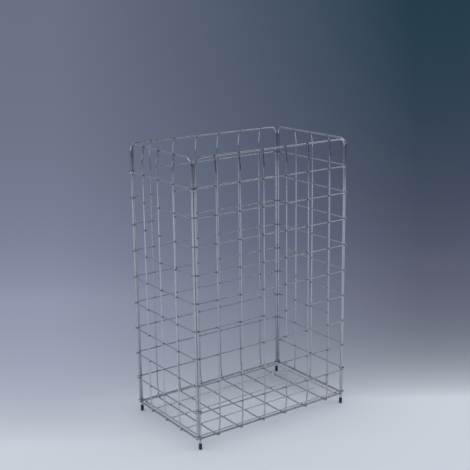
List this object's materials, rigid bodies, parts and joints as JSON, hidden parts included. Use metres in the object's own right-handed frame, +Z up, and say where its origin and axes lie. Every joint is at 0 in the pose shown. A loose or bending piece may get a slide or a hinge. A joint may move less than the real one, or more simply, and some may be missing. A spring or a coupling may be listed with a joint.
{
  "type": "wire mesh wastepaper bin",
  "caption": "Rectangular wastepaper bin of welded steel wire panels, open at the top, with a hooked-in wire floor and black foot caps.",
  "frame": {"origin": "on the floor, under the middle of the bin", "axes": "+Z up, X along the long panels, -Y the front panel"},
  "size_m": [0.3504, 0.218, 0.523],
  "materials": {
    "bright_wire": "bright plated, smooth with fine drawing lines",
    "black_cap": "matt black, lightly textured"
  },
  "bodies": {
    "root": {"back_bottom_bar": "bright_wire", "back_frame": "bright_wire", "back_left_foot_cap": "black_cap", "back_left_rings": "bright_wire", "back_right_foot_cap": "black_cap", "back_right_rings": "bright_wire", "back_row_wires": "bright_wire", "back_upright_1": "bright_wire", "back_upright_2": "bright_wire", "back_upright_3": "bright_wire", "back_upright_4": "bright_wire", "back_upright_5": "bright_wire", "back_upright_6": "bright_wire", "floor_cross_wire_1": "bright_wire", "floor_cross_wire_2": "bright_wire", "floor_cross_wire_3": "bright_wire", "floor_cross_wire_4": "bright_wire", "floor_cross_wire_5": "bright_wire", "floor_cross_wire_6": "bright_wire", "floor_left_rod": "bright_wire", "floor_long_wire_1": "bright_wire", "floor_long_wire_2": "bright_wire", "floor_long_wire_3": "bright_wire", "floor_long_wire_4": "bright_wire", "floor_long_wire_5": "bright_wire", "floor_right_rod": "bright_wire", "front_bottom_bar": "bright_wire", "front_frame": "bright_wire", "front_left_foot_cap": "black_cap", "front_left_rings": "bright_wire", "front_right_foot_cap": "black_cap", "front_right_rings": "bright_wire", "front_row_wires": "bright_wire", "front_upright_1": "bright_wire", "front_upright_2": "bright_wire", "front_upright_3": "bright_wire", "front_upright_4": "bright_wire", "front_upright_5": "bright_wire", "front_upright_6": "bright_wire", "left_bottom_bar": "bright_wire", "left_frame": "bright_wire", "left_row_wires": "bright_wire", "left_upright_1": "bright_wire", "left_upright_2": "bright_wire", "left_upright_3": "bright_wire", "right_bottom_bar": "bright_wire", "right_frame": "bright_wire", "right_row_wires": "bright_wire", "right_upright_1": "bright_wire", "right_upright_2": "bright_wire", "right_upright_3": "bright_wire"}
  },
  "joints": []
}
